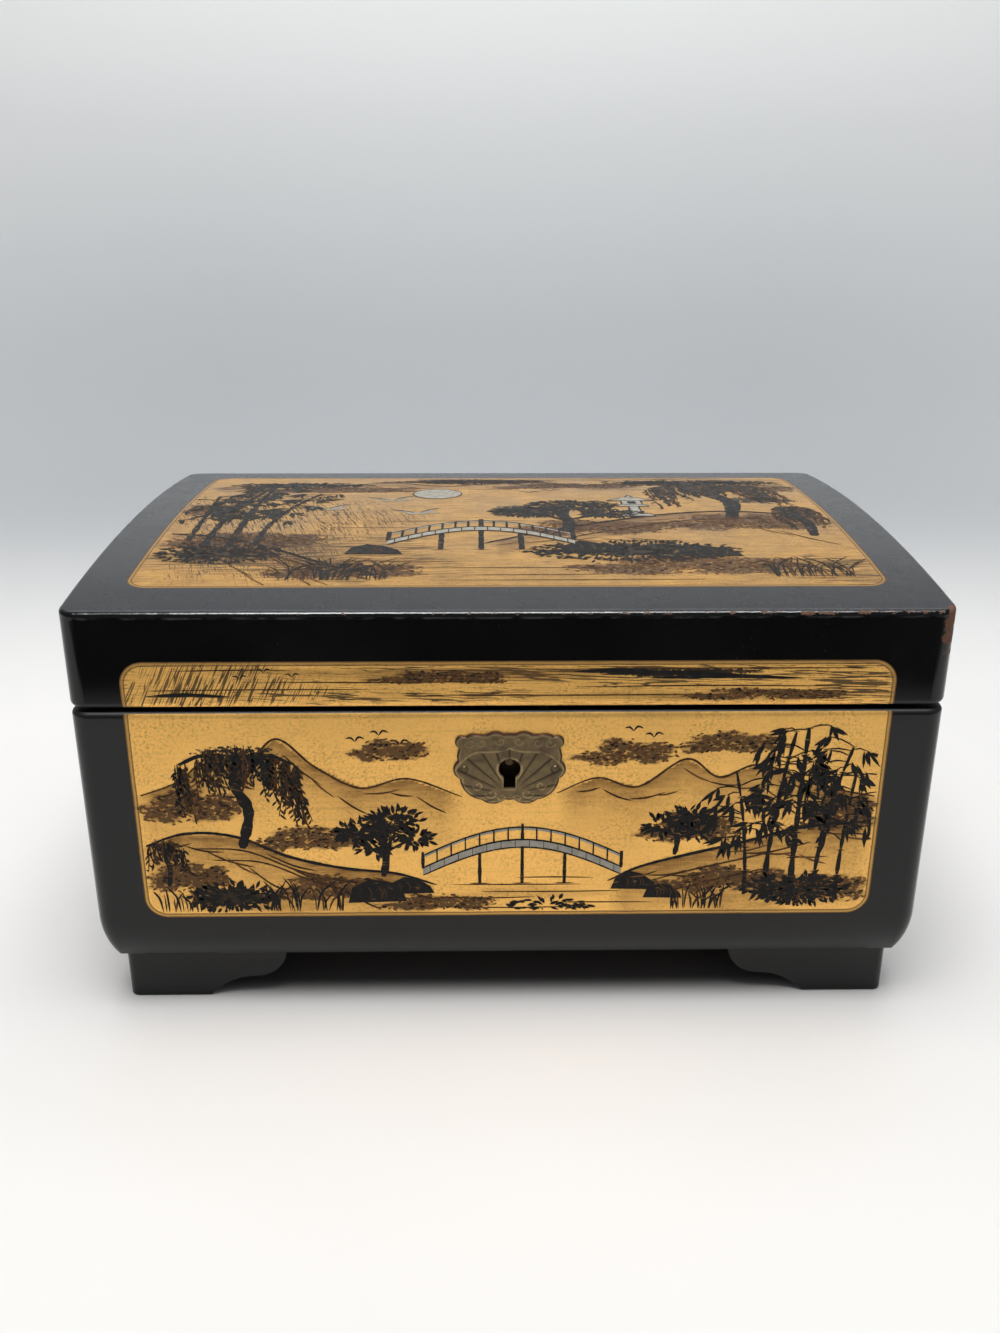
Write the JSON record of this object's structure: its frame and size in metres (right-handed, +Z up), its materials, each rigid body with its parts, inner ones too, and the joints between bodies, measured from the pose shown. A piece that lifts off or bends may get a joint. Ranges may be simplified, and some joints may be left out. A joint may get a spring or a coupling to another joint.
{
  "type": "musical jewelry box",
  "caption": "Black lacquered jewelry box with gilt grounds, arched hinged lid, box lock, bracket feet, lift-out tray and a wind-up cylinder musical movement.",
  "frame": {"origin": "on the table, under the middle of the box", "axes": "+X to the right of the box, -Y out of its front, +Z up"},
  "size_m": [0.254, 0.1808, 0.1365],
  "materials": {
    "black_lacquer": "gloss black lacquer on wood",
    "gilt_ground": "satin gold ground with painted washes",
    "aged_brass": "stamped and darkened brass",
    "brass": "satin brass",
    "steel": "ground steel",
    "cast_bed": "gilded die casting",
    "red_velvet": "velvet on card and thin wood",
    "bare_wood": "unlacquered thin wood",
    "clear_cover": "clear acrylic",
    "mirror_glass": "silvered glass"
  },
  "bodies": {
    "root": {"front_board": "black_lacquer", "back_board": "black_lacquer", "left_board": "black_lacquer", "right_board": "black_lacquer", "bottom_board": "bare_wood", "foot_front_left": "black_lacquer", "foot_front_right": "black_lacquer", "foot_back_left": "black_lacquer", "foot_back_right": "black_lacquer", "gilt_panel_front": "gilt_ground", "escutcheon": "aged_brass", "escutcheon_nails": "aged_brass", "lock_case": "brass", "lock_screws": "brass", "lining_floor": "red_velvet", "lining_walls": "red_velvet", "music_partition": "red_velvet", "movement_divider": "red_velvet", "movement_cover": "clear_cover", "support_rails": "red_velvet", "hinge_left_body_leaf": "brass", "hinge_right_body_leaf": "brass", "hinge_left_pin": "brass", "hinge_right_pin": "brass", "hinge_body_screws": "brass", "movement_bedplate": "cast_bed", "spring_barrel": "brass", "mainspring": "steel", "comb": "steel", "comb_screws": "steel", "governor_bracket": "brass", "movement_screws": "steel"},
    "lid": {"lid_top": "black_lacquer", "lid_front_rail": "black_lacquer", "lid_back_rail": "black_lacquer", "lid_left_rail": "black_lacquer", "lid_right_rail": "black_lacquer", "gilt_panel_lid_front": "gilt_ground", "gilt_panel_lid_top": "gilt_ground", "lid_lining": "red_velvet", "lid_mirror": "mirror_glass", "mirror_clips": "brass", "strike_plate": "brass", "strike_screws": "brass", "hinge_left_lid_leaf": "brass", "hinge_right_lid_leaf": "brass", "hinge_lid_screws": "brass"},
    "tray": {"tray_frame": "red_velvet", "ring_rolls": "red_velvet"},
    "lock_bolt": {"lock_bolt": "brass"},
    "winding_train": {"winding_key": "brass", "winding_arbor": "steel", "crown_wheel": "brass"},
    "cylinder": {"pinned_cylinder": "brass", "cylinder_gear": "brass", "cylinder_arbor": "steel"},
    "governor_wheel": {"governor_wheel": "brass"},
    "governor_fly": {"governor_fly": "steel"},
    "stop_rod": {"stop_rod": "steel"}
  },
  "joints": [
    {"name": "lid_hinge", "type": "hinge", "parent": "root", "child": "lid", "pos_m": [0, 0.0882, 0.102], "axis": [-1, 0, 0], "range_deg": [0, 100]},
    {"name": "tray_lift", "type": "slide", "parent": "root", "child": "tray", "axis": [0, 0, 1], "range_m": [0, 0.02]},
    {"name": "bolt_slide", "type": "slide", "parent": "root", "child": "lock_bolt", "axis": [1, 0, 0], "range_m": [0, 0.005]},
    {"name": "cylinder_spin", "type": "hinge", "parent": "root", "child": "cylinder", "pos_m": [-0.103, 0.047, 0.04586], "axis": [1, 0, 0], "continuous": true},
    {"name": "key_turn", "type": "hinge", "parent": "root", "child": "winding_train", "pos_m": [-0.072, 0.047, 0.02], "axis": [0, 0, 1], "continuous": true},
    {"name": "governor_spin", "type": "hinge", "parent": "root", "child": "governor_wheel", "pos_m": [-0.1095, 0.05458, 0.04148], "axis": [1, 0, 0], "continuous": true},
    {"name": "fly_spin", "type": "hinge", "parent": "root", "child": "governor_fly", "pos_m": [-0.10905, 0.05953, 0.04148], "axis": [0, 0, 1], "continuous": true},
    {"name": "stop_rod_rise", "type": "slide", "parent": "root", "child": "stop_rod", "axis": [0, 0, 1], "range_m": [0, 0.003]}
  ],
  "couplings": [
    {"joint": "key_turn", "follows": "cylinder_spin", "ratio": -0.27778},
    {"joint": "governor_spin", "follows": "cylinder_spin", "ratio": -4},
    {"joint": "fly_spin", "follows": "cylinder_spin", "ratio": 48},
    {"joint": "stop_rod_rise", "follows": "lid_hinge", "m_per_rad": 0.0017}
  ]
}
